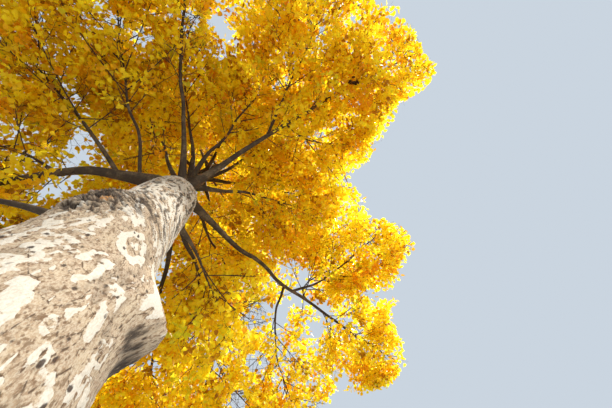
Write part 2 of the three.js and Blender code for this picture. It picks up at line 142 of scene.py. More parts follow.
# How far the bark's forms stand out, in metres
RELIEF = {
    "broad": 0.006, "white": 0.0028, "grain": 0.0026, "furrow": 0.004, "folds": 0.0055,
    "knob_folds": 0.01, "knob_hollow": 0.014, "knob_lip": 0.016, "flakes": 0.032, "hollow": 0.05,
}
RELIEF_FULL_AT = 2.0
# The grain's distance from the axis, and how far and how many times in a metre it wavers
GRAIN = {"reach": 0.21, "waver": 0.018, "fine": 22}

# Boughs and the mass at each one's end: what carries it, where on that, then its knee and its mass
# as bearing, distance from the trunk's axis and height, half the mass outwards, across and up, and
# the bough's thickness where it starts
BOUGHS = [
    ("west", "trunk", 4.12, (-123, 0.6, 4.33), (177, 2.05, 3.76), (0.76, 0.66, 0.48), 0.086),
    ("west_southwest", "west", 0.55, (-163, 1.05, 4.25), (-163, 1.48, 4.52), (0.48, 0.43, 0.42), 0.032),
    ("southwest", "west", 0.3, (-141, 0.95, 4.56), (-138, 1.9, 5.08), (0.82, 0.68, 0.56), 0.046),
    ("south_southwest", "west", 0.2, (-116, 0.85, 4.64), (-110, 1.78, 5.15), (0.68, 0.56, 0.56), 0.036),
    ("south", "trunk", 4.42, (-87, 0.95, 4.78), (-88, 2.85, 5.25), (0.66, 0.64, 0.52), 0.048),
    ("southeast", "trunk", 4.48, (-33, 1.3, 4.98), (-30, 2.62, 5.0), (0.68, 0.64, 0.52), 0.064),
    ("south_southeast", "southeast", 0.5, (-43, 1.65, 5.15), (-51, 2.43, 5.28), (0.7, 0.64, 0.54), 0.038),
    ("east_southeast", "southeast", 0.62, (-20, 1.45, 5.15), (-12, 1.85, 5.15), (0.6, 0.64, 0.52), 0.034),
    ("northeast", "trunk", 4.4, (55, 1.5, 4.85), (44, 2.76, 4.45), (0.56, 0.54, 0.45), 0.064),
    ("east_northeast", "northeast", 0.72, (42, 2.0, 4.95), (19, 2.33, 4.85), (0.6, 0.56, 0.47), 0.036),
    ("north_northeast", "northeast", 0.67, (64, 1.9, 4.7), (67, 2.4, 4.42), (0.5, 0.5, 0.43), 0.036),
    ("inner_northeast", "northeast", 0.82, (50, 1.85, 5.0), (40, 1.98, 5.05), (0.52, 0.56, 0.48), 0.034),
    ("north_low", "trunk", 3.7, (64, 0.42, 3.8), (70, 0.93, 3.85), (0.43, 0.48, 0.42), 0.032),
    ("north", "trunk", 4.18, (84, 0.8, 4.4), (84, 1.78, 4.25), (0.56, 0.52, 0.45), 0.046),
    ("north_northwest", "trunk", 4.3, (108, 1.0, 4.6), (103, 2.48, 4.5), (0.66, 0.6, 0.48), 0.056),
    ("northwest", "trunk", 4.18, (142, 0.95, 4.45), (136, 2.25, 4.25), (0.74, 0.72, 0.5), 0.06),
    ("west_northwest", "trunk", 4.42, (172, 1.0, 4.8), (161, 2.48, 4.95), (0.7, 0.64, 0.52), 0.052),
    ("low_west", "trunk", 2.72, (-146, 0.42, 3.0), (-172, 1.18, 3.25), (0.4, 0.4, 0.34), 0.032),
    ("inner_southwest", "trunk", 4.54, (-125, 0.48, 5.0), (-124, 1.0, 5.8), (0.6, 0.68, 0.6), 0.042),
    ("inner_southeast", "trunk", 4.64, (-58, 0.75, 5.1), (-50, 1.64, 5.62), (0.7, 0.7, 0.56), 0.044),
    ("inner_east", "trunk", 4.7, (8, 0.65, 5.05), (19, 1.48, 5.45), (0.68, 0.7, 0.56), 0.044),
]
COLLAR = {"swell": 1.2, "reach": 0.21}
BOUGH_TAPER = 0.5
CROOK = {"stand": 0.035, "per_metre": 2.6, "from": 0.3, "apart": 7.3}
# How many points a limb's line has and its last stretch has, and how far apart its mesh has rings
LINE_POINTS = 201
END_POINTS = 20
LIMB_STEP = 0.045
# How deep in its mass's space a bough's own wood ends, and how far apart those spaces keep
ENTRY_DEPTH = 0.86
SEAM = 0.035
# How readily leaves and twigs close gaps between masses, and how far they may stand in another's
# space, from their own mass's middle and past the part's box
CLOSING = 0.8
OVERLAP = 0.12
FURTHEST = 1.7
BOX_MARGIN = 0.12

# Masses that stem from the trunk itself: a few among the boughs, and tiers of them above
TRUNK_MASSES = [
    ("inner_south", (-91, 1.23, 5.55), (0.5, 0.5, 0.52)),
    ("inner_east_southeast", (-20, 1.18, 5.75), (0.56, 0.56, 0.54)),
    ("inner_north", (76, 1.08, 5.35), (0.64, 0.64, 0.56)),
    ("inner_west", (146, 1.15, 5.5), (0.66, 0.68, 0.58)),
]
TIERS = [
    ("upper", 5, 6.75, 1.37, (0.68, 0.76, 0.7), 12),
    ("high", 4, 8.05, 0.92, (0.62, 0.68, 0.66), -20),
    ("crest", 2, 9.15, 0.43, (0.5, 0.64, 0.6), 60),
]
TIER_STAGGER = 0.2
STEM_DROP = 0.48
TOP_MASS = {"height": 9.88, "size": (0.43, 0.43, 0.48)}

# Twigs, in the order that they branch: how far apart they leave what bears them, from which share
# of its length on, how far they lean off it, how long and thick they are, how many lengths
# they are made of, how far their tips turn up and, below 1, how they crowd towards the end
TWIG_TURN = 137.5
TWIG_ORDERS = [
    {"spacing": 0.06, "first": 0.05, "lean": (38, 75), "length": (0.4, 1.2),
     "root": 0.0085, "tip": 0.0035, "pieces": 4, "rise": (0.0, 0.3)},
    {"spacing": 0.055, "first": 0.12, "lean": (34, 65), "length": (0.12, 0.46),
     "root": 0.0038, "tip": 0.0018, "pieces": 2, "rise": (-0.1, 0.3), "crowding": 0.65},
    {"spacing": 0.034, "first": 0.1, "lean": (30, 70), "length": (0.04, 0.13),
     "root": 0.0018, "tip": 0.0010, "pieces": 1, "rise": (-0.2, 0.3)},
]
# How many degrees twigs stray, how far they bend aside, and the least length share for thickness
TWIG_STRAY = 25
TWIG_BEND = 0.1
THINNEST = 0.1
TWIG_REACH = 0.97
# The heights between which the leader too bears twigs, and the masses that these belong to
LEADER_TWIGS = (7.9, 9.3)
LEADER_MASSES = ("crest_1", "crest_2")
LEADER_POINTS = 40
WALK_STEP = 0.04
STEM_REACH_DEPTH = 0.86
STEM_TIP = 0.0045
TRUNK_STEM_ROOT = 0.024
STEM_RISE = 0.05
LEAST_SHARE = 0.55
TRUNK_MARGIN = 0.012

# Twigs begin at this share of a limb's way to its mass
TWIGS_FROM = 0.4
# Leaves also stand round a bough's outer stretch before its mass, but not round these boughs
SLEEVE = {"reach": 0.27, "points": 8}
BARE_BOUGHS = ("northeast", "north_low", "low_west")
# In masses with their middle below this height the side twigs stand closer
LOW = 5.3
LOW_CROWDING = 1.2

# Leaves: metres, degrees, and shares of their length
LEAF_ORDER = {"spacing": 0.0148, "first": 0.15}
LEAF_LENGTH = (0.044, 0.068)
# Low on the tree the leaves are smaller and closer, in its top larger and fewer
LEAF_SIZE_AT = [(4.3, 0.77), (5.1, 0.98), (6.0, 1.06), (7.0, 1.26)]
LEAF_BREADTH = (0.85, 1.05)
LEAF_OUTLINE = [(0.16, 0.42), (0.62, 0.36)]
LEAF_FOLD = 0.16
LEAF_CURL = 0.14
PETIOLE = (0.018, 0.042)
PETIOLE_HALF = 0.0008
PETIOLE_LEAN = (35, 75)
PETIOLE_STRAY = 30
LEAF_DROOP = 0.45
LEAF_HANG = 0.6
LEAF_STRAY = 0.35
# A leaf's corners are its root, its tip, two on each edge and its stalk's two at the shoot. Here are
# its faces, and which corners have to lie in its mass's reach
LEAF_FACES = np.array([(0, 2, 3), (0, 3, 1), (0, 5, 4), (0, 1, 5), (6, 7, 0)])
LEAF_CHECKED = (0, 1, 2, 4)
LEAVES_A_PIECE = 38000
# The share of shoots that have a tint of their own, not their spray's
LONE_SHOOTS = 0.6

# The leaves' tints: a name, the colour, the colour that comes through, and the share of sprays
TINTS = [
    ("lemon", "f6de1d", "fbeb2e", 0.38),
    ("gold", "f4d116", "fbe121", 0.32),
    ("deep_gold", "ecb812", "fbcf16", 0.14),
    ("amber", "d79c14", "fab412", 0.06),
    ("ochre", "a07618", "c89218", 0.07),
    ("lime", "d2cc2a", "e8e630", 0.03),
]
DRY_TINT = ("4a2f16", "3a230e")
# How much of a leaf's light comes through it
LEAF_GLOW = 0.6

FLOOR_SIZE = 120
FLOOR_TONE = (0.26, 0.256, 0.25)
SKY_TONE = (0.74, 0.83, 0.93)
SKY_STRENGTH = 0.8
LIGHTS = {
    "key": {"bearing": -38, "elevation": 26, "strength": 3.9, "softness": 5, "tone": (1.0, 0.96, 0.88)},
    "above": {"bearing": 20, "elevation": 58, "strength": 9.7, "softness": 3, "tone": (1.0, 0.97, 0.9)},
}
CLIP = (0.05, 200)

# Seeds for the draws and for what strays, and odd numbers that stir a place and a seed into noise
SEED = 1907
STRAY_SEED = 61
STIR = (73856093, 19349663, 83492791, 7919)
STIR_AGAIN = [(13, 1274126177), (16, 2246822519)]


def place(bearing, reach, height):
    """A point at a bearing, distance from the axis and height."""
    angle = math.radians(bearing)
    return np.array([reach * math.cos(angle), reach * math.sin(angle), height])


def trunk_axis(height):
    """Where the trunk's axis stands: straight below, swaying a little as the leader."""
    height = np.asarray(height, float)
    share = np.clip((height - LEADER["from"]) / LEADER["length"], 0, 1)
    phase = share * LEADER["turns"] * 2 * math.pi
    sway = LEADER["sway"] * share
    return np.stack([sway * np.sin(phase), sway * (1 - np.cos(phase)), height], axis=-1)


def turned_from(bearing, angle):
    """Degrees from a bearing to an angle, between -180 and 180."""
    return (np.degrees(angle) - bearing + 180) % 360 - 180


def hump(form, angle, z):
    """A smooth hump on the trunk, steeper below than above."""
    aside = turned_from(form["bearing"], angle) / form["width"]
    rise = (z - form["height"]) / np.where(z < form["height"], form["below"], form["above"])
    return form["stand"] * np.exp(-aside**2 - rise**2)


def trunk_profile(z):
    """Half the trunk's thickness at a height, on a smooth line through the profile's points."""
    heights, radii = np.array(TRUNK_PROFILE).T
    last = len(heights) - 1
    station = np.clip(np.searchsorted(heights, z, side="right") - 1, 0, last - 1)
    t = np.clip((z - heights[station]) / (heights[station + 1] - heights[station]), 0, 1)
    before, here = radii[np.maximum(station - 1, 0)], radii[station]
    after, beyond = radii[station + 1], radii[np.minimum(station + 2, last)]
    leave, arrive = (after - before) / 2, (beyond - here) / 2
    cubic = 2 * here - 2 * after + leave + arrive
    square = -3 * here + 3 * after - 2 * leave - arrive
    return cubic * t**3 + square * t**2 + leave * t + here


def trunk_radius(angle, z):
    lobes = 1 + FLARE["lobe"] * np.cos(FLARE["lobes"] * (angle - FLARE["turn"]))
    flare = FLARE["stand"] * np.exp(-z / FLARE["height"]) * lobes
    return trunk_profile(z) + flare + hump(KNOB, angle, z) + hump(SCAR, angle, z)


def lattice(corner, seed):
    """A fixed random number between -1 and 1 for every corner of a lattice."""
    for_x, for_y, for_z, for_seed = STIR
    mixed = corner[:, 0] * for_x ^ corner[:, 1] * for_y ^ corner[:, 2] * for_z ^ seed * for_seed
    for shift, factor in STIR_AGAIN:
        mixed = (mixed ^ (mixed >> shift)) * factor & 0xFFFFFFFF
    return (mixed >> 8 & 0xFFFF) / 32767.5 - 1


def noise(points, seed):
    """Smooth noise between -1 and 1, with lumps about one unit wide, another for every seed."""
    corner = np.floor(points).astype(np.int64)
    t = points - corner
    t = t * t * t * (t * (t * 6 - 15) + 10)
    total = np.zeros(len(points))
    for step in np.ndindex(2, 2, 2):
        weight = np.prod(np.where(step, t, 1 - t), axis=1)
        total += weight * lattice(corner + step, seed)
    return total


def layered(points, seed, layers=3):
    """Noise with finer and fainter noise on top."""
    fainter, evened = 1.8, 1.6
    sums = sum(noise(points * 2**layer, seed + layer) / fainter**layer for layer in range(layers))
    return sums / evened


def strays(points):
    """How far points stray along each axis, between -1 and 1."""
    return np.stack([noise(points, STRAY_SEED + axis) for axis in range(3)], axis=1)


def smooth_step(value, low, high):
    t = np.clip((value - low) / (high - low), 0, 1)
    return t * t * (3 - 2 * t)


def unit(vectors):
    return vectors / np.linalg.norm(vectors, axis=-1, keepdims=True)


def lean_from(direction, lean, turn):
    """Directions that lean off others by degrees, turned about them by degrees."""
    steep = np.abs(direction[:, 2:]) > 0.9
    aside = np.where(steep, [[1.0, 0.0, 0.0]], [[0.0, 0.0, 1.0]])
    over = np.cross(unit(np.cross(aside, direction)), direction)
    lean, turn = np.radians(lean)[:, None], np.radians(turn)[:, None]
    spoke = over * np.cos(turn) + np.cross(direction, over) * np.sin(turn)
    return direction * np.cos(lean) + spoke * np.sin(lean)


# The cells that the masses keep to: ellipsoids that point outwards from the trunk
def tier_cells(name, count, height, reach, size, first_bearing):
    for index in range(count):
        rise = (TIER_STAGGER if index % 2 else -TIER_STAGGER) * size[2]
        centre = place(first_bearing + 360 * index / count, reach, height + rise)
        yield f"{name}_{index + 1}", centre + trunk_axis(height) * (1, 1, 0), size


def all_cells():
    found = [(name, place(*mass), size) for name, _, _, _, mass, size, _ in BOUGHS]
    found += [(name, place(*mass), size) for name, mass, size in TRUNK_MASSES]
    for tier in TIERS:
        found += tier_cells(*tier)
    return found + [("top", trunk_axis(TOP_MASS["height"]), TOP_MASS["size"])]


CELLS = all_cells()
CELL_INDEX = {name: index for index, (name, _, _) in enumerate(CELLS)}


def cell_measures():
    """Each cell's centre and the rows that turn an offset from it into shares of its half sizes."""
    centres = np.array([centre for _, centre, _ in CELLS])
    bearing = np.arctan2(centres[:, 1], centres[:, 0])
    zero, one = np.zeros(len(CELLS)), np.ones(len(CELLS))
    out = np.stack([np.cos(bearing), np.sin(bearing), zero], axis=1)
    across = np.stack([-np.sin(bearing), np.cos(bearing), zero], axis=1)
    up = np.stack([zero, zero, one], axis=1)
    sizes = np.array([size for _, _, size in CELLS])
    return centres, np.stack([out, across, up], axis=1) / sizes[:, :, None]


CENTRES, CELL_ROWS = cell_measures()


def depth_in(cell, points):
    """How far points lie from a cell's middle: 1 on its skin."""
    return np.linalg.norm((points - CENTRES[cell]) @ CELL_ROWS[cell].T, axis=-1)


def all_depths(points):
    return np.stack([depth_in(cell, points) for cell in range(len(CELLS))], axis=1)


def owned(points, cells):
    """Which points lie in the space of the mass that they belong to, and its depth there."""
    depths = all_depths(points)
    rows = np.arange(len(points))
    own = depths[rows, cells].copy()
    depths[rows, cells] = np.inf
    return (own < 1) & (depths.min(axis=1) > own + SEAM), own


def reachable(points, cells):
    """Which points a mass's twigs may reach: its own space, gaps beside it, and along its bough."""
    depths = all_depths(points)
    own = depths[np.arange(len(points)), cells]
    fullness = np.exp(CLOSING * (1 - depths**2)).sum(axis=1)
    allowed = (fullness > 1) & (depths.min(axis=1) > own - OVERLAP) & (own < FURTHEST)
    from_bough = np.linalg.norm(points[:, None] - SLEEVES[cells], axis=2).min(axis=1)
    allowed |= from_bough < SLEEVE["reach"]
    low, high = np.array(cad_box[0]) - BOX_MARGIN, np.array(cad_box[1]) + BOX_MARGIN
    in_box = np.all((points > low) & (points < high), axis=1)
    return allowed & in_box & (edge_room(points) > 0)


def in_picture(points):
    """Where points stand in the picture, in its pixels across and down, and how far ahead."""
    right, down = np.array(VIEW_RIGHT), np.array(VIEW_DOWN)
    offset = points - np.array(CAMERA_PLACE)
    ahead = offset @ np.cross(right, down)
    scale = LENS / SENSOR * PICTURE[0] / np.maximum(ahead, 0.01)
    return PICTURE[0] / 2 + offset @ right * scale, PICTURE[1] / 2 + offset @ down * scale, ahead


def cleared(points):
    """What share of the leaves is left out at points, for the sky to show through the crown."""
    across, down, ahead = in_picture(points)
    share = np.zeros(len(points))
    for middle_x, middle_y, half_x, half_y, lean, most in OPENINGS:
        turn = math.radians(lean)
        x, y = across - middle_x, down - middle_y
        along = x * math.cos(turn) + y * math.sin(turn)
        aside = y * math.cos(turn) - x * math.sin(turn)
        apart = np.hypot(along / half_x, aside / half_y)
        share = np.maximum(share, most * (1 - smooth_step(apart, *OPENING_FADE)))
    share = np.where(ahead > 0, share, 0)
    at_edge = EDGE_THIN["share"] * (1 - smooth_step(edge_room(points), 0, EDGE_THIN["within"]))
    lumps = noise(points * LUMPS_THIN["per_metre"], 91)
    in_lumps = LUMPS_THIN["share"] * smooth_step(lumps, LUMPS_THIN["from"], LUMPS_THIN["to"])
    return np.maximum(share, np.maximum(at_edge, in_lumps))


def edge_room(points):
    """How far points stand to the left of the crown's edge in the picture, in its pixels."""
    across, down, ahead = in_picture(points)
    ragged = EDGE_RAGGED * noise(points * EDGE_LUMPS, 71)
    room = np.interp(down, *np.array(RIGHT_EDGE).T[::-1]) + ragged - across
    return np.where((down > 0) & (down < PICTURE[1]) & (ahead > 0), room, np.inf)


class Path:
    """A line through points, read by the share of its length."""

    def __init__(self, points):
        self.points = np.asarray(points)
        steps = np.linalg.norm(np.diff(self.points, axis=0), axis=1)
        self.run = np.concatenate([[0], np.cumsum(steps)])
        self.length = self.run[-1]

    def at(self, share):
        along = np.asarray(share) * self.length
        return np.stack([np.interp(along, self.run, axis) for axis in self.points.T], axis=-1)

    def heading(self, share):
        step = 0.01
        return unit(self.at(np.minimum(share + step, 1)) - self.at(np.maximum(share - step, 0)))


def arc(start, knee, end):
    t = np.linspace(0, 1, LINE_POINTS)[:, None]
    return (1 - t) ** 2 * start + 2 * t * (1 - t) * knee + t**2 * end


def crooked(line, seed):
    """A limb's line with small bends to and fro, none where it leaves what carries it."""
    run = Path(line).run
    apart = np.full(len(run), CROOK["apart"] * seed)
    bends = strays(np.stack([run * CROOK["per_metre"], apart, run * 0], axis=1))
    return line + bends * (CROOK["stand"] * np.minimum(run / CROOK["from"], 1))[:, None]


def entry_share(path, cell, deepest):
    """The share of a path at which it comes into its mass's own space for good."""
    shares = np.linspace(0, 1, LINE_POINTS)
    inside, depth = owned(path.at(shares), np.full(len(shares), cell))
    outside = ~inside | (depth > deepest)
    return shares[min(np.flatnonzero(outside)[-1] + 1, len(shares) - 1)]


def carried_on(line, cell):
    """A limb's line, with the stem that runs on through its mass's middle towards the far side."""
    heading = unit(line[-1] - line[-END_POINTS])
    end = line[-1].copy()
    while depth_in(cell, end) < STEM_REACH_DEPTH and edge_room(end[None])[0] > LIMBS_STOP:
        end = end + heading * WALK_STEP
    steps = np.linspace(0, 1, END_POINTS)[1:, None]
    return Path(np.vstack([line, line[-1] + (end - line[-1]) * steps]))


def grow_boughs():
    """Every bough with the stem that it goes on as: its line, where it enters its mass, its radii."""
    entries, limbs = {}, []
    for name, carrier, at, knee, mass, _, girth in BOUGHS:
        start = trunk_axis(at) if carrier == "trunk" else entries[carrier].at(at)
        cell = CELL_INDEX[name]
        line = crooked(arc(start, place(*knee), place(*mass)), cell)
        bough = Path(line)
        entry = entry_share(bough, cell, ENTRY_DEPTH)
        entries[name] = Path(bough.at(np.linspace(0, entry, LINE_POINTS)))
        path = carried_on(line, cell)
        bark = float(trunk_profile(at)) if carrier == "trunk" else None
        limbs.append({"cell": cell, "path": path, "entry": entry * bough.length / path.length,
                      "root": girth / 2, "at_entry": girth / 2 * (1 - BOUGH_TAPER), "bark": bark})
    return limbs


def grow_trunk_stems():
    """The stems of the masses that the trunk and its tip bear."""
    limbs = []
    for cell in range(len(BOUGHS), len(CELLS)):
        name, centre, _ = CELLS[cell]
        if name == "top":
            start, rise, root, bark = trunk_axis(TRUNK_TIP), 0, TRUNK_PROFILE[-1][1], None
        else:
            start, rise, root = trunk_axis(centre[2] - STEM_DROP), STEM_RISE, TRUNK_STEM_ROOT
            bark = float(trunk_profile(start[2]))
        knee = (start + centre) / 2 + (0, 0, rise)
        path = carried_on(crooked(arc(start, knee, centre), cell), cell)
        limbs.append({"cell": cell, "path": path, "entry": 0.0, "root": root, "at_entry": root,
                      "bark": bark})
    return limbs


def bough_sleeves(limbs):
    """Points along each bough's outer stretch before its mass, for every mass in turn."""
    found = np.full((len(CELLS), SLEEVE["points"], 3), np.inf)
    for limb in limbs:
        if limb["entry"] > 0 and CELLS[limb["cell"]][0] not in BARE_BOUGHS:
            share = np.linspace(TWIGS_FROM, 1, SLEEVE["points"]) * limb["entry"]
            found[limb["cell"]] = limb["path"].at(share)
    return found


LIMBS = grow_boughs() + grow_trunk_stems()
SLEEVES = bough_sleeves(LIMBS)


def limb_radius(limb, share):
    """Half a limb's thickness: an even taper to its mass, a finer stem in it, a collar at the bark."""
    entry = limb["entry"]
    radius = np.interp(share, [0, entry, 1], [limb["root"], limb["at_entry"], STEM_TIP])
    if limb["bark"] is None:
        return radius
    past_bark = np.maximum(share * limb["path"].length - limb["bark"], 0)
    return radius * (1 + COLLAR["swell"] * np.exp(-past_bark / COLLAR["reach"]))


# Twigs: arrays of starts, headings, lengths and bends, and the mass and spray that each belongs to
def free_run(starts, headings, cells, furthest):
    """How far straight twigs can run before they leave their masses' spaces."""
    run = np.zeros(len(starts))
    going = np.ones(len(starts), bool)
    for step in np.arange(WALK_STEP, furthest + WALK_STEP, WALK_STEP):
        rows = np.flatnonzero(going)
        if not len(rows):
            break
        inside = reachable(starts[rows] + headings[rows] * step, cells[rows])
        going[rows] = inside
        run[rows[inside]] = step
    return run


def points_along(twigs, rows, share):
    share = share[:, None]
    ahead = twigs["heading"][rows] * share + twigs["bend"][rows] * share**2
    return twigs["start"][rows] + ahead * twigs["length"][rows, None]


def headings_along(twigs, rows, share):
    return unit(twigs["heading"][rows] + 2 * twigs["bend"][rows] * share[:, None])


def spaced_along(lengths, order):
    """Which twig bears each new one, at which share of its length, and its rank there."""
    counts = np.maximum(1, np.round(lengths * (1 - order["first"]) / order["spacing"]))
    counts = counts.astype(int)
    rows = np.repeat(np.arange(len(lengths)), counts)
    rank = np.arange(len(rows)) - np.repeat(np.cumsum(counts) - counts, counts)
    along = ((rank + 1) / counts[rows]) ** order.get("crowding", 1)
    share = order["first"] + (1 - order["first"]) * along
    return rows, share, rank


def grow_order(order, starts, headings, cells, ranks, rng):
    """Twigs of one order, each turned on from the one before it, as long as the space lets them be."""
    count = len(starts)
    lean = rng.uniform(*order["lean"], count)
    turn = TWIG_TURN * ranks + rng.uniform(-TWIG_STRAY, TWIG_STRAY, count)
    heading = lean_from(headings, lean, turn)
    free = free_run(starts, heading, cells, order["length"][1] / TWIG_REACH)
    length = np.minimum(rng.uniform(*order["length"], count), free * TWIG_REACH)
    bend = unit(rng.normal(size=(count, 3))) * TWIG_BEND
    bend[:, 2] += rng.uniform(*order["rise"], count)
    thick = np.sqrt(np.clip(length / order["length"][1], THINNEST, 1))
    twigs = {"start": starts, "heading": heading, "length": length, "bend": bend, "cell": cells,
             "root": order["root"] * thick, "tip": np.full(count, order["tip"])}
    keep = length > order["length"][0] * LEAST_SHARE
    return {key: values[keep] for key, values in twigs.items()}, keep


def grow_on(bearers, order, rng):
    """Twigs of the next order, and which twig bears each."""
    rows, share, rank = spaced_along(bearers["length"], order)
    starts, headings = points_along(bearers, rows, share), headings_along(bearers, rows, share)
    grown, keep = grow_order(order, starts, headings, bearers["cell"][rows], rank, rng)
    return grown, rows[keep]


def grow_twigs(limbs, rng):
    """Side twigs on the stems, twigs on those and leafy shoots on the twigs."""
    side, twig, shoot = TWIG_ORDERS
    starts, headings, cells, ranks = [], [], [], []
    for limb in limbs:
        path = limb["path"]
        entry = TWIGS_FROM * entry_share(path, limb["cell"], 1)
        crowding = LOW_CROWDING if CENTRES[limb["cell"], 2] < LOW else 1
        _, share, rank = spaced_along(np.array([path.length * (1 - entry) * crowding]), side)
        share = entry + (1 - entry) * share
        starts.append(path.at(share))
        headings.append(path.heading(share))
        cells.append(np.full(len(share), limb["cell"]))
        ranks.append(rank)
    sides, _ = grow_order(side, *map(np.concatenate, (starts, headings, cells, ranks)), rng)
    twigs, _ = grow_on(sides, twig, rng)
    shoots, rows = grow_on(twigs, shoot, rng)
    lone = rng.uniform(0, 1, len(rows)) < LONE_SHOOTS
    shoots["spray"] = np.where(lone, len(twigs["start"]) + np.arange(len(lone)), rows)
    return sides, twigs, shoots


def leader_limbs():
    """The leader's upper length, once for every mass that its twigs belong to."""
    path = Path(trunk_axis(np.linspace(*LEADER_TWIGS, LEADER_POINTS)))
    return [{"cell": CELL_INDEX[name], "path": path} for name in LEADER_MASSES]


def put_together(one, other):
    """Two lots of twigs as one."""
    return {key: np.concatenate([one[key], other[key]]) for key in one}


def three_sided(twigs, pieces):
    """The triangles of twigs: three-sided, tapering, each drawn out to a point."""
    count = len(twigs["start"])
    rows = np.arange(count)
    over = unit(np.cross(twigs["heading"], unit(twigs["heading"][:, [1, 2, 0]] + 0.01)))
    aside = np.cross(twigs["heading"], over)
    points = []
    for ring in range(pieces):
        share = np.full(count, ring / pieces)
        centre = points_along(twigs, rows, share)
        radius = twigs["root"] + (twigs["tip"] - twigs["root"]) * ring / pieces
        for side in range(3):
            angle = 2 * math.pi * side / 3
            spoke = over * math.cos(angle) + aside * math.sin(angle)
            points.append(centre + spoke * radius[:, None])
    points.append(points_along(twigs, rows, np.ones(count)))
    faces = []
    for ring in range(pieces - 1):
        for side in range(3):
            here, beside = 3 * ring + side, 3 * ring + (side + 1) % 3
            faces += [(here, beside, beside + 3), (here, beside + 3, here + 3)]
    base, tip = 3 * (pieces - 1), 3 * pieces
    faces += [(base, base + 1, tip), (base + 1, base + 2, tip), (base + 2, base, tip)]
    faces.append((2, 1, 0))
    return repeated(np.stack(points, axis=1), np.array(faces))


def repeated(points, faces):
    """One list of points and triangles from many copies of a shape that has the same faces."""
    count, size, _ = points.shape
    triangles = faces[None] + (np.arange(count) * size)[:, None, None]
    return points.reshape(-1, 3), triangles.reshape(-1, 3)


def joined(parts):
    """One list of points and triangles from several."""
    points, triangles, first = [], [], 0
    for more, faces in parts:
        points.append(more)
        triangles.append(faces + first)
        first += len(more)
    return np.concatenate(points), np.concatenate(triangles)


def leaf_points(node, root, along, normal, length, breadth, curl=LEAF_CURL):
    """Leaves' corner points, from where their stalks leave the shoot and their blades begin."""
    across = np.cross(normal, along)

    def on_blade(far, wide):
        bow = LEAF_FOLD * abs(wide) * breadth - curl * far**2 * length
        return root + along * far * length + across * wide * breadth + normal * bow

    points = [root, on_blade(1, 0)]
    points += [on_blade(far, wide) for far, wide in LEAF_OUTLINE]
    points += [on_blade(far, -wide) for far, wide in LEAF_OUTLINE]
    points += [node + across * PETIOLE_HALF, node - across * PETIOLE_HALF]
    return np.stack(points, axis=1)


def grow_dry_leaves(twigs, rng):
    """Small clumps of dry leaves, each on the lowest twig tip close to its place in the picture."""
    count = len(twigs["start"])
    tips = points_along(twigs, np.arange(count), np.ones(count))
    across, down, _ = in_picture(tips)
    clumps = []
    for clump_across, clump_down in DRY_CLUMPS:
        apart = np.hypot(across - clump_across, down - clump_down)
        close = np.flatnonzero(apart < max(DRY_OFF, apart.min() + DRY_PAST))
        clumps.append(tips[close[np.argmin(tips[close, 2])]])
    node = np.repeat(clumps, DRY_LEAVES["count"], axis=0)
    spread = DRY_LEAVES["spread"]
    root = node + rng.normal(size=node.shape) * spread - (0, 0, spread)
    along = unit(rng.normal(size=node.shape) - (0, 0, DRY_LEAVES["hang"]))
    normal = unit(np.cross(along, unit(rng.normal(size=node.shape))))
    length = rng.uniform(*LEAF_LENGTH, (len(node), 1))
    breadth = length * DRY_LEAVES["breadth"]
    return leaf_points(node, root, along, normal, length, breadth, DRY_LEAVES["curl"])


def grow_leaves(shoots, rng):
    """Leaves in a spiral along every shoot, hung on their stalks: corner points and sprays."""
    size = np.interp(shoots["start"][:, 2], *np.array(LEAF_SIZE_AT).T)
    rows, share, rank = spaced_along(shoots["length"] / size**2, LEAF_ORDER)
    count = len(rows)
    node = points_along(shoots, rows, share)
    lean = rng.uniform(*PETIOLE_LEAN, count)
    turn = TWIG_TURN * rank + rng.uniform(-PETIOLE_STRAY, PETIOLE_STRAY, count)
    stalk = lean_from(headings_along(shoots, rows, share), lean, turn)
    hang = np.array([0, 0, -1.0])
    stalk = unit(stalk + hang * rng.uniform(0, LEAF_DROOP, (count, 1)))
    size = size[rows][:, None]
    root = node + stalk * rng.uniform(*PETIOLE, (count, 1)) * size
    along = stalk + hang * rng.uniform(0, LEAF_HANG, (count, 1))
    along = unit(along + rng.normal(size=(count, 3)) * LEAF_STRAY)
    normal = unit(np.cross(along, unit(rng.normal(size=(count, 3)))))
    length = rng.uniform(*LEAF_LENGTH, (count, 1)) * size
    breadth = length * rng.uniform(*LEAF_BREADTH, (count, 1))
    points = leaf_points(node, root, along, normal, length, breadth)
    keep = np.ones(count, bool)
    for corner in LEAF_CHECKED:
        corners = points[:, corner]
        keep &= reachable(corners, shoots["cell"][rows]) & clear_of_trunk(corners)
    keep &= rng.uniform(0, 1, count) > cleared(root)
    return points[keep], shoots["spray"][rows][keep]


def clear_of_trunk(points):
    offset = points - trunk_axis(points[:, 2])
    reach = np.hypot(offset[:, 0], offset[:, 1])
    return reach > trunk_radius(np.arctan2(offset[:, 1], offset[:, 0]), points[:, 2]) + TRUNK_MARGIN


def linked(name, data):
    """A new object in the scene."""
    made = bpy.data.objects.new(name, data)
    bpy.context.collection.objects.link(made)
    return made


def divide(piece, levels, kind):
    """Divides the faces of the piece that is active, and shades it smooth."""
    modifier = piece.modifiers.new("divide", "SUBSURF")
    modifier.subdivision_type = kind
    modifier.levels = modifier.render_levels = levels
    bpy.ops.object.modifier_apply(modifier=modifier.name)
    bpy.ops.object.shade_smooth()


def mesh_piece(name, points, triangles, material):
    """A piece made from points and triangles."""
    mesh = bpy.data.meshes.new(name)
    mesh.vertices.add(len(points))
    mesh.vertices.foreach_set("co", points.astype(np.float32).ravel())
    mesh.loops.add(triangles.size)
    mesh.loops.foreach_set("vertex_index", triangles.astype(np.int32).ravel())
    mesh.polygons.add(len(triangles))
    mesh.polygons.foreach_set("loop_start", np.arange(0, triangles.size, 3, dtype=np.int32))
    mesh.update(calc_edges=True)
    mesh.materials.append(material)
    return linked(name, mesh)


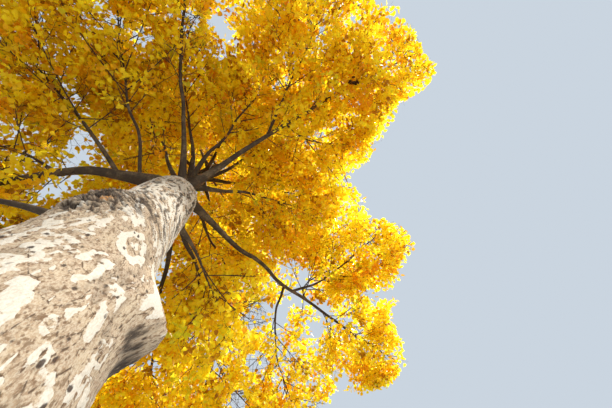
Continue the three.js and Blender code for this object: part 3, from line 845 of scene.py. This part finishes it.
class Value:
    """An output of a material's node, with arithmetic that adds Math nodes."""

    def __init__(self, maker, socket):
        self.maker = maker
        self.socket = socket

    def _math(self, operation, *values):
        return self.maker.node("ShaderNodeMath", {"operation": operation}, dict(enumerate(values)))

    def __add__(self, other):
        return self._math("ADD", self, other)

    def __sub__(self, other):
        return self._math("SUBTRACT", self, other)

    def __mul__(self, other):
        return self._math("MULTIPLY", self, other)

    def __rsub__(self, other):
        return self._math("SUBTRACT", other, self)

    __radd__ = __add__
    __rmul__ = __mul__

    def between(self, low, high):
        """0 below low, 1 above high, smooth between."""
        inputs = {"Value": self, "From Min": low, "From Max": high}
        return self.maker.node("ShaderNodeMapRange", {"interpolation_type": "SMOOTHSTEP"}, inputs)


class Finish:
    """A material and its nodes."""

    def __init__(self, name):
        self.material = bpy.data.materials.new(name)
        self.material.use_nodes = True
        self.tree = self.material.node_tree
        self.tree.nodes.clear()

    def node(self, kind, settings, inputs, output=0):
        """Adds a node, sets it and its sockets, and gives one of its outputs."""
        made = self.tree.nodes.new(kind)
        for key, value in settings.items():
            setattr(made, key, value)
        for key, value in inputs.items():
            if isinstance(value, Value):
                self.tree.links.new(value.socket, made.inputs[key])
            else:
                made.inputs[key].default_value = value
        return Value(self, made.outputs[output]) if made.outputs else None

    def skin(self, inputs):
        return self.node("ShaderNodeBsdfPrincipled", {}, inputs)

    def surface(self, shader):
        self.node("ShaderNodeOutputMaterial", {}, {"Surface": shader})
        return self.material

    def noise(self, where, scale, detail, rough):
        inputs = {"Vector": where, "Scale": scale, "Detail": detail, "Roughness": rough}
        return self.node("ShaderNodeTexNoise", {}, inputs)

    def cells(self, where, scale, feature="F1"):
        inputs = {"Vector": where, "Scale": scale}
        return self.node("ShaderNodeTexVoronoi", {"feature": feature}, inputs)

    def mix(self, share, one, other):
        """One colour, and another where the share is 1."""
        inputs = {0: share, 6: one, 7: other}
        return self.node("ShaderNodeMix", {"data_type": "RGBA"}, inputs, output=2)

    def over(self, colour, layers):
        """A colour with others laid over it, each by its share."""
        for share, code in layers:
            colour = self.mix(share, colour, tone(code))
        return colour


def tone(code):
    """A colour as Blender has it, from its six-figure code."""
    parts = [int(code[start:start + 2], 16) / 255 for start in (0, 2, 4)]
    linear = [part / 12.92 if part <= 0.04045 else ((part + 0.055) / 1.055) ** 2.4 for part in parts]
    return (*linear, 1.0)


def leaf_finish(name, code, glow_code):
    """A thin leaf: faintly glossy, with light that comes through it."""
    finish = Finish(name)
    skin = finish.skin({"Base Color": tone(code), "Roughness": 0.42, "Specular IOR Level": 0.32})
    glow = finish.node("ShaderNodeBsdfTranslucent", {}, {"Color": tone(glow_code)})
    return finish.surface(finish.node("ShaderNodeMixShader", {}, {0: LEAF_GLOW, 1: skin, 2: glow}))


def twig_finish():
    finish = Finish("twig_bark")
    return finish.surface(finish.skin({"Base Color": tone("46341f"), "Roughness": 0.8}))


def bough_finish():
    """Young bark: brown, darkened as painted shade from the crown, paler in patches, with dark flecks."""
    finish = Finish("bough_bark")
    where = finish.node("ShaderNodeTexCoord", {}, {}, output="Object")
    broad = finish.noise(where, 9, 4, 0.6)
    fine = finish.noise(where, 70, 4, 0.65)
    layers = [(broad.between(0.45, 0.68), "6d5a40"), (fine.between(0.35, 0.7) * 0.7, "2c2014")]
    # The base colour is darker than the bark is: painted shade from the crown
    bark = finish.over(tone("3a2b1a"), layers)
    bump = finish.node("ShaderNodeBump", {}, {"Strength": 0.5, "Distance": 0.004, "Height": fine})
    return finish.surface(finish.skin({"Base Color": bark, "Roughness": 0.82, "Normal": bump}))


def trunk_finish():
    """Old pale bark: grainy tan plates, smooth white patches along the trunk, dark marks and painted
    shade.
    """
    finish = Finish("trunk_bark")

    def field(name, output="Fac"):
        return finish.node("ShaderNodeAttribute", {"attribute_name": name}, {}, output)

    grain = field("grain", "Vector")
    patch, shade, wound, crown_shade = map(field, ("patch", "shade", "wound", "crown_shade"))
    long_ways = finish.node("ShaderNodeMapping", {}, {"Vector": grain, "Scale": (1.0, 1.0, 0.4)})
    ragged = finish.noise(long_ways, 60, 4, 0.65)
    grains = finish.noise(long_ways, 300, 4, 0.7)
    crumbs = finish.noise(long_ways, 125, 3, 0.6)
    blotches = finish.noise(long_ways, 30, 3, 0.6)

    edge = patch + (ragged - 0.5) * 0.8
    white = edge.between(0.09, 0.18)
    rim = edge.between(-0.01, 0.07) * (1 - edge.between(0.07, 0.14))
    tan = finish.over(tone("907860"), [
        (blotches.between(0.3, 0.7), "aa957a"), (grains.between(0.4, 0.58) * 0.6, "c6b9a4"),
        (crumbs.between(0.5, 0.64) * 0.8, "6d543b"),
    ])
    cream = finish.over(tone("bcb2a3"), [
        (grains.between(0.35, 0.6), "cbc5b9"), (blotches.between(0.62, 0.75) * 0.5, "a39178"),
    ])

    few = finish.noise(grain, 13, 1, 0.5).between(0.38, 0.46)
    dots = finish.cells(long_ways, 44) + (crumbs - 0.5) * 0.4
    dot = (1 - dots.between(0.11, 0.21)) * few
    speck = (1 - finish.cells(long_ways, 120).between(0.12, 0.24)) * (1 - white * 0.85)
    cracks = finish.cells(long_ways, 22, "DISTANCE_TO_EDGE") + (ragged - 0.5) * 0.05
    crack = (1 - cracks.between(0.0, 0.028)) * (1 - white)
    crack = crack * crumbs.between(0.45, 0.55)
    bark = finish.over(finish.mix(white, tan, cream), [
        (rim * crumbs.between(0.45, 0.6) * 0.8, "6b5038"), (speck * 0.7, "6a4f36"),
        (crack * 0.8, "4a3524"), (dot * 0.95, "35241a"),
        # Painted shade from the shade field, darkest in the grain
        (shade * (grains + crumbs).between(0.65, 1.0), "241a13"), (shade * 0.42, "3b2c20"),
        (wound * crumbs.between(0.35, 0.55), "a8763f"),
    ])
    # Above the fork the trunk is painted dark brown for the crown's shade
    brown = finish.over(tone("4e3c26"), [(blotches.between(0.4, 0.6), "79654a")])
    bark = finish.mix(crown_shade, bark, brown)

    height = ragged * 0.3 + grains * 0.35 + crumbs * 0.5 - speck * 0.3 - crack * 0.5 - dot * 0.4
    bump = finish.node("ShaderNodeBump", {}, {"Strength": 0.7, "Distance": 0.005, "Height": height})
    inputs = {"Base Color": bark, "Roughness": 0.9 - white * 0.2, "Normal": bump}
    return finish.surface(finish.skin(inputs))


def bark_fields(angle, z):
    """What the bark does at points of the trunk: its relief in metres, what colours it and where shade is
    painted.

    Noise is read at so many lumps in a metre, fewer up the trunk than round it.
    """
    def apart(spot):
        bearing, height, wide, tall = spot
        return np.hypot(turned_from(bearing, angle) / wide, (z - height) / tall)

    def near(spot):
        """1 at a place on the trunk, fading to 0 over its width and height."""
        return np.exp(-apart(spot) ** 2)

    pull = 0.5 * near(KNOB_PULL)
    twist = 1.5 * smooth_step(z, *TWIST)
    turned = angle + np.radians(turned_from(KNOB["bearing"], angle)) * pull + twist
    grain = np.stack([GRAIN["reach"] * np.cos(turned), GRAIN["reach"] * np.sin(turned), z], axis=1)
    warped = grain + GRAIN["waver"] * strays(grain * GRAIN["fine"])

    high = smooth_step(z, *HIGH_BARK)
    streaks = layered(warped * (44, 44, 4.8) + (0, 0, 9), 11)
    fine_streaks = layered(warped * (88, 88, 10), 15)
    patch = 0.6 * streaks + 0.75 * fine_streaks + (fine_streaks - streaks) * 0.4 * high + 0.27 * high
    for share, spot in WHITER:
        patch += share * near(spot)
    for share, out, width in RING_BANDS:
        patch += share * np.exp(-((apart(RING_PATCH) - out) / width) ** 2)
    white = smooth_step(patch, 0.06, 0.18)
    relief = RELIEF["broad"] * noise(grain * (6, 6, 2.2), 3) + RELIEF["white"] * white
    relief += (1 - 0.6 * white) * RELIEF["grain"] * layered(grain * (48, 48, 34), 5)

    furrow = np.abs(noise(warped * (24, 24, 4.5), 21))
    furrow = smooth_step(0.14 - furrow, 0, 0.14) * (1 - white)
    relief -= RELIEF["furrow"] * furrow
    sweep = smooth_step(z, *FOLDS_START) * (1 - smooth_step(z, *FOLDS_END))
    folds = layered(warped * (46, 46, 6.5), 81, 2)
    relief += RELIEF["folds"] * folds * sweep
    # Painted shade: the hollows of the folds and furrows get a darker colour
    shade = 0.95 * sweep * smooth_step(-folds, 0.12, 0.38) + 0.25 * furrow

    below = near(BELOW_KNOB)
    folds = layered(grain * (52, 52, 16), 41, 2)
    relief += (RELIEF["knob_folds"] * folds - RELIEF["knob_hollow"]) * below
    relief += RELIEF["knob_lip"] * near(KNOB_LIP)
    # Painted shadow under the knob: dark colour on its underside, deeper in its folds
    dark = near(BELOW_KNOB_SHADOW) * (1 + 2.2 * folds)
    shade = np.maximum(shade, smooth_step(below * (1 + 0.7 * folds), 0.3, 0.8) * 0.95)
    shade = np.maximum(shade, 0.9 * smooth_step(dark, 0.4, 1.1))

    lips = near(WOUND_LIPS)
    flakes = 1 - 3.2 * np.abs(layered(grain * (58, 58, 34), 51))
    relief += RELIEF["flakes"] * flakes * lips - RELIEF["hollow"] * near(WOUND_HOLLOW)
    # Painted shade in the hollows between the wound's flakes
    shade = np.maximum(shade, smooth_step(lips * (1.35 - flakes), 0.2, 0.65))
    wound = smooth_step(near(WOUND_BARE) * (1 + flakes), 0.4, 0.8)
    # Painted shade from the crown: the trunk turns dark brown above the fork
    crown_shade = smooth_step(z + 0.1 * streaks, *CROWN_SHADE_HEIGHTS)
    return relief, {"grain": grain, "patch": patch, "shade": shade, "wound": wound, "crown_shade": crown_shade}


def trunk_piece(material):
    """The trunk: extruded ring by ring from its foot, divided finely, then shaped and given bark."""
    bpy.ops.mesh.primitive_circle_add(vertices=TRUNK_SIDES, radius=1, fill_type="NGON")
    trunk = bpy.context.object
    trunk.name = "trunk_bark"
    bpy.ops.object.mode_set(mode="EDIT")
    bpy.ops.mesh.select_all(action="SELECT")
    height = 0.0
    for up_to, step in TRUNK_RINGS:
        count = round((up_to - height) / step)
        for _ in range(count):
            rise = (0, 0, (up_to - height) / count)
            bpy.ops.mesh.extrude_region_move(TRANSFORM_OT_translate={"value": rise})
        height = up_to
    bpy.ops.mesh.select_all(action="SELECT")
    bpy.ops.mesh.normals_make_consistent(inside=False)
    bpy.ops.object.mode_set(mode="OBJECT")
    divide(trunk, TRUNK_LEVELS, "SIMPLE")

    mesh = trunk.data
    points = np.empty(len(mesh.vertices) * 3)
    mesh.vertices.foreach_get("co", points)
    points = points.reshape(-1, 3)
    angle, z = np.arctan2(points[:, 1], points[:, 0]), points[:, 2]
    half_side = math.pi / TRUNK_SIDES
    edge = math.cos(half_side) / np.cos((angle + half_side) % (2 * half_side) - half_side)
    inner = np.hypot(points[:, 0], points[:, 1]) / edge
    hair = 1e-4
    inner = np.where((z > hair) & (z < TRUNK_TIP - hair), 1, np.minimum(inner, 1))
    relief, fields = bark_fields(angle, z)
    relief *= np.minimum(trunk_profile(z) / trunk_profile(RELIEF_FULL_AT), 1)
    radius = inner * (trunk_radius(angle, z) + relief)
    spokes = np.stack([np.cos(angle), np.sin(angle), np.zeros(len(z))], axis=1)
    mesh.vertices.foreach_set("co", (trunk_axis(z) + spokes * radius[:, None]).ravel())
    for name, values in fields.items():
        kind, key = ("FLOAT_VECTOR", "vector") if values.ndim == 2 else ("FLOAT", "value")
        attribute = mesh.attributes.new(name, kind, "POINT")
        attribute.data.foreach_set(key, values.astype(np.float32).ravel())
    mesh.materials.append(material)
    return trunk


def boughs_piece(limbs, material):
    """The boughs and stems: curves with a round section and the limbs' radii, made into one mesh."""
    curve = bpy.data.curves.new("boughs_bark", "CURVE")
    curve.dimensions = "3D"
    curve.bevel_depth = 1
    curve.bevel_resolution = 2
    curve.use_fill_caps = True
    for limb in limbs:
        count = max(4, round(limb["path"].length / LIMB_STEP))
        share = np.linspace(0, 1, count + 1)
        spline = curve.splines.new("POLY")
        spline.points.add(count)
        spline.points.foreach_set("co", np.c_[limb["path"].at(share), np.ones(count + 1)].ravel())
        spline.points.foreach_set("radius", limb_radius(limb, share))
    boughs = linked("boughs_bark", curve)
    bpy.ops.object.select_all(action="DESELECT")
    boughs.select_set(True)
    bpy.context.view_layer.objects.active = boughs
    bpy.ops.object.convert(target="MESH")
    divide(boughs, 1, "CATMULL_CLARK")
    boughs.data.materials.clear()
    boughs.data.materials.append(material)
    return boughs


def leaf_pieces(leaves, sprays, rng):
    """The leaves, dealt out by spray to a piece or more of each tint."""
    shares = [share for *_, share in TINTS]
    dealt = rng.choice(len(TINTS), sprays.max() + 1, p=shares)[sprays]
    pieces = []
    for index, (tint, code, glow_code, _) in enumerate(TINTS):
        finish = leaf_finish(f"leaf_{tint}", code, glow_code)
        rows = np.flatnonzero(dealt == index)
        parts = math.ceil(len(rows) / LEAVES_A_PIECE)
        for part, some in enumerate(np.array_split(rows, parts)):
            points, triangles = repeated(leaves[some], LEAF_FACES)
            pieces.append(mesh_piece(f"leaves_{tint}_{part + 1}", points, triangles, finish))
    return pieces


def set_stage():
    bpy.ops.mesh.primitive_plane_add(size=FLOOR_SIZE)
    floor = bpy.context.object
    floor.name = "floor"
    finish = Finish("floor")
    skin = finish.skin({"Base Color": (*FLOOR_TONE, 1), "Roughness": 0.9})
    floor.data.materials.append(finish.surface(skin))

    bpy.context.scene.view_settings.view_transform = "Standard"
    world = bpy.data.worlds.new("studio")
    bpy.context.scene.world = world
    world.use_nodes = True
    background = world.node_tree.nodes["Background"]
    background.inputs["Color"].default_value = (*SKY_TONE, 1)
    background.inputs["Strength"].default_value = SKY_STRENGTH

    for name, light in LIGHTS.items():
        rise = math.radians(light["elevation"])
        towards = Vector(place(light["bearing"], math.cos(rise), math.sin(rise)))
        lamp = bpy.data.lights.new(name, "SUN")
        lamp.energy = light["strength"]
        lamp.angle = math.radians(light["softness"])
        lamp.color = light["tone"]
        made = linked(name, lamp)
        made.rotation_mode = "QUATERNION"
        made.rotation_quaternion = towards.to_track_quat("Z", "Y")


def set_camera():
    right, down = Vector(VIEW_RIGHT), Vector(VIEW_DOWN)
    ahead = right.cross(down)
    turned = Matrix((right, -down, -ahead)).transposed().to_4x4()
    lens = bpy.data.cameras.new("camera")
    lens.sensor_width = SENSOR
    lens.lens = LENS
    lens.clip_start, lens.clip_end = CLIP
    camera = linked("camera", lens)
    camera.matrix_world = Matrix.Translation(CAMERA_PLACE) @ turned
    bpy.context.scene.camera = camera


set_camera()
set_stage()
rng = np.random.default_rng(SEED)
in_masses = grow_twigs(LIMBS, rng)
leaves, sprays = grow_leaves(in_masses[2], rng)
leader_rng = np.random.default_rng(SEED + 1)
on_leader = grow_twigs(leader_limbs(), leader_rng)
more_leaves, more_sprays = grow_leaves(on_leader[2], leader_rng)
leaves = np.concatenate([leaves, more_leaves])
sprays = np.concatenate([sprays, more_sprays + in_masses[2]["spray"].max() + 1])
grown = list(map(put_together, in_masses, on_leader))

trunk = trunk_piece(trunk_finish())
boughs = boughs_piece(LIMBS, bough_finish())
sides, twigs, shoots = [three_sided(some, order["pieces"]) for some, order in zip(grown, TWIG_ORDERS)]
twig_bark = twig_finish()
wood = [mesh_piece("twigs_bark", *joined([sides, twigs]), twig_bark)]
wood.append(mesh_piece("shoots_bark", *shoots, twig_bark))
foliage = leaf_pieces(leaves, sprays, rng)
dry = repeated(grow_dry_leaves(grown[1], rng), LEAF_FACES)
foliage.append(mesh_piece("leaves_dry", *dry, leaf_finish("leaf_dry", *DRY_TINT)))

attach(trunk, "root")
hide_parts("trunk")
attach(boughs, "root")
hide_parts(*[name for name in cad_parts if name.startswith("bough_")])
for piece in wood:
    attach(piece, "root")
masses = [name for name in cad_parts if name.startswith("mass_")]
for piece in foliage:
    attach(piece, "root")
    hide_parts(*masses)
